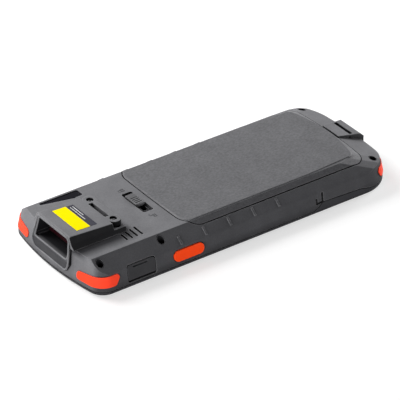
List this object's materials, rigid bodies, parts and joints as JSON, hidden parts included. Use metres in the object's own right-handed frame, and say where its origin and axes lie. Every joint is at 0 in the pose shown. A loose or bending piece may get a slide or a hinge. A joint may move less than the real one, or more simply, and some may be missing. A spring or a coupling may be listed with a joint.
{
  "type": "portable barcode data terminal",
  "caption": "Rugged handheld data terminal with a raised barcode scanner cap, orange corner bumpers, a latched battery cover, side scan keys, a touch display and a keypad.",
  "frame": {"origin": "centre of the length and width, on the plane of the front bezel, which it rests on", "axes": "+X from the scanner end to the foot end, +Y to the far side (power and volume keys), +Z out of the back"},
  "size_m": [0.171, 0.0708, 0.0212],
  "materials": {
    "housing": "fine moulded texture",
    "cap": "fine moulded texture",
    "latch": "satin",
    "frame": "fine moulded texture",
    "flap": "matte",
    "gasket": "matte",
    "bumper": "satin",
    "orange_key": "satin",
    "side_key": "satin",
    "key": "satin, with pale digits",
    "sticker": "satin film",
    "touch_glass": "polished",
    "scan_window": "polished, dark tint",
    "camera_window": "polished, dark tint",
    "flash_led": "clear lens",
    "display": "dark when off",
    "battery": "wrapped cell",
    "battery_contacts": "block with gilt springs",
    "board": "solder mask",
    "inner_plastic": "satin",
    "steel": "satin",
    "gold": "gilt",
    "antenna": "foil"
  },
  "bodies": {
    "housing": {"antenna": "antenna", "back_shell": "housing", "battery_contacts": "battery_contacts", "battery_pack": "battery", "board_screws": "steel", "bumper_foot_far": "bumper", "bumper_foot_near": "bumper", "bumper_top_far": "bumper", "bumper_top_near": "bumper", "camera_module": "inner_plastic", "camera_window": "camera_window", "cradle_contacts": "gold", "display_module": "display", "earpiece": "inner_plastic", "flash_led": "flash_led", "front_frame": "frame", "housing_gasket": "gasket", "housing_screws": "steel", "keypad_membrane": "gasket", "main_board": "board", "port_cover_pin": "steel", "roof_sticker": "sticker", "scan_engine": "inner_plastic", "scan_window": "scan_window", "scanner_cap": "cap", "scanner_cap_screws": "steel", "shield_can": "steel", "side_switches": "inner_plastic", "speaker": "inner_plastic", "touch_glass": "touch_glass", "usb_port": "steel", "vibration_motor": "steel"},
    "cover_body": {"battery_cover": "housing", "battery_cover_seal": "gasket"},
    "latch_body": {"battery_latch": "latch"},
    "flap_body": {"port_cover": "flap"},
    "near_scan_body": {"scan_key_near": "orange_key"},
    "far_scan_body": {"scan_key_far": "orange_key"},
    "power_body": {"power_key": "side_key"},
    "rocker_body": {"volume_rocker": "side_key"},
    "key_back_body": {"key_back": "key"},
    "key_scan_body": {"key_scan": "orange_key"},
    "key_enter_body": {"key_enter": "key"},
    "key_1_body": {"key_1": "key"},
    "key_2_body": {"key_2": "key"},
    "key_3_body": {"key_3": "key"},
    "key_4_body": {"key_4": "key"},
    "key_5_body": {"key_5": "key"},
    "key_6_body": {"key_6": "key"},
    "key_7_body": {"key_7": "key"},
    "key_8_body": {"key_8": "key"},
    "key_9_body": {"key_9": "key"},
    "key_star_body": {"key_star": "key"},
    "key_0_body": {"key_0": "key"},
    "key_hash_body": {"key_hash": "key"}
  },
  "joints": [
    {"name": "battery_cover_tilt", "type": "hinge", "parent": "housing", "child": "cover_body", "pos_m": [0.0721, 0, 0.016], "axis": [0, 1, 0], "range_deg": [0, 30]},
    {"name": "battery_latch_slide", "type": "slide", "parent": "housing", "child": "latch_body", "axis": [0, -1, 0], "range_m": [0, 0.006]},
    {"name": "port_cover_hinge", "type": "hinge", "parent": "housing", "child": "flap_body", "pos_m": [-0.05915, -0.03372, 0.0042], "axis": [1, 0, 0], "range_deg": [0, 100]},
    {"name": "near_scan_key_press", "type": "slide", "parent": "housing", "child": "near_scan_body", "axis": [0, 1, 0], "range_m": [0, 0.0006], "stiffness_N_per_m": 400, "springref_m": -0.001},
    {"name": "far_scan_key_press", "type": "slide", "parent": "housing", "child": "far_scan_body", "axis": [0, -1, 0], "range_m": [0, 0.0006], "stiffness_N_per_m": 400, "springref_m": -0.001},
    {"name": "power_key_press", "type": "slide", "parent": "housing", "child": "power_body", "axis": [0, -1, 0], "range_m": [0, 0.0006], "stiffness_N_per_m": 400, "springref_m": -0.001},
    {"name": "volume_rocker_tilt", "type": "hinge", "parent": "housing", "child": "rocker_body", "pos_m": [0.012, 0.034, 0.0065], "axis": [0, 0, 1], "range_deg": [-2, 2], "stiffness_Nm_per_rad": 0.05},
    {"name": "key_back_press", "type": "slide", "parent": "housing", "child": "key_back_body", "axis": [0, 0, 1], "range_m": [0, 0.0005], "stiffness_N_per_m": 300, "springref_m": -0.0008},
    {"name": "key_scan_press", "type": "slide", "parent": "housing", "child": "key_scan_body", "axis": [0, 0, 1], "range_m": [0, 0.0005], "stiffness_N_per_m": 300, "springref_m": -0.0008},
    {"name": "key_enter_press", "type": "slide", "parent": "housing", "child": "key_enter_body", "axis": [0, 0, 1], "range_m": [0, 0.0005], "stiffness_N_per_m": 300, "springref_m": -0.0008},
    {"name": "key_1_press", "type": "slide", "parent": "housing", "child": "key_1_body", "axis": [0, 0, 1], "range_m": [0, 0.0005], "stiffness_N_per_m": 300, "springref_m": -0.0008},
    {"name": "key_2_press", "type": "slide", "parent": "housing", "child": "key_2_body", "axis": [0, 0, 1], "range_m": [0, 0.0005], "stiffness_N_per_m": 300, "springref_m": -0.0008},
    {"name": "key_3_press", "type": "slide", "parent": "housing", "child": "key_3_body", "axis": [0, 0, 1], "range_m": [0, 0.0005], "stiffness_N_per_m": 300, "springref_m": -0.0008},
    {"name": "key_4_press", "type": "slide", "parent": "housing", "child": "key_4_body", "axis": [0, 0, 1], "range_m": [0, 0.0005], "stiffness_N_per_m": 300, "springref_m": -0.0008},
    {"name": "key_5_press", "type": "slide", "parent": "housing", "child": "key_5_body", "axis": [0, 0, 1], "range_m": [0, 0.0005], "stiffness_N_per_m": 300, "springref_m": -0.0008},
    {"name": "key_6_press", "type": "slide", "parent": "housing", "child": "key_6_body", "axis": [0, 0, 1], "range_m": [0, 0.0005], "stiffness_N_per_m": 300, "springref_m": -0.0008},
    {"name": "key_7_press", "type": "slide", "parent": "housing", "child": "key_7_body", "axis": [0, 0, 1], "range_m": [0, 0.0005], "stiffness_N_per_m": 300, "springref_m": -0.0008},
    {"name": "key_8_press", "type": "slide", "parent": "housing", "child": "key_8_body", "axis": [0, 0, 1], "range_m": [0, 0.0005], "stiffness_N_per_m": 300, "springref_m": -0.0008},
    {"name": "key_9_press", "type": "slide", "parent": "housing", "child": "key_9_body", "axis": [0, 0, 1], "range_m": [0, 0.0005], "stiffness_N_per_m": 300, "springref_m": -0.0008},
    {"name": "key_star_press", "type": "slide", "parent": "housing", "child": "key_star_body", "axis": [0, 0, 1], "range_m": [0, 0.0005], "stiffness_N_per_m": 300, "springref_m": -0.0008},
    {"name": "key_0_press", "type": "slide", "parent": "housing", "child": "key_0_body", "axis": [0, 0, 1], "range_m": [0, 0.0005], "stiffness_N_per_m": 300, "springref_m": -0.0008},
    {"name": "key_hash_press", "type": "slide", "parent": "housing", "child": "key_hash_body", "axis": [0, 0, 1], "range_m": [0, 0.0005], "stiffness_N_per_m": 300, "springref_m": -0.0008}
  ]
}
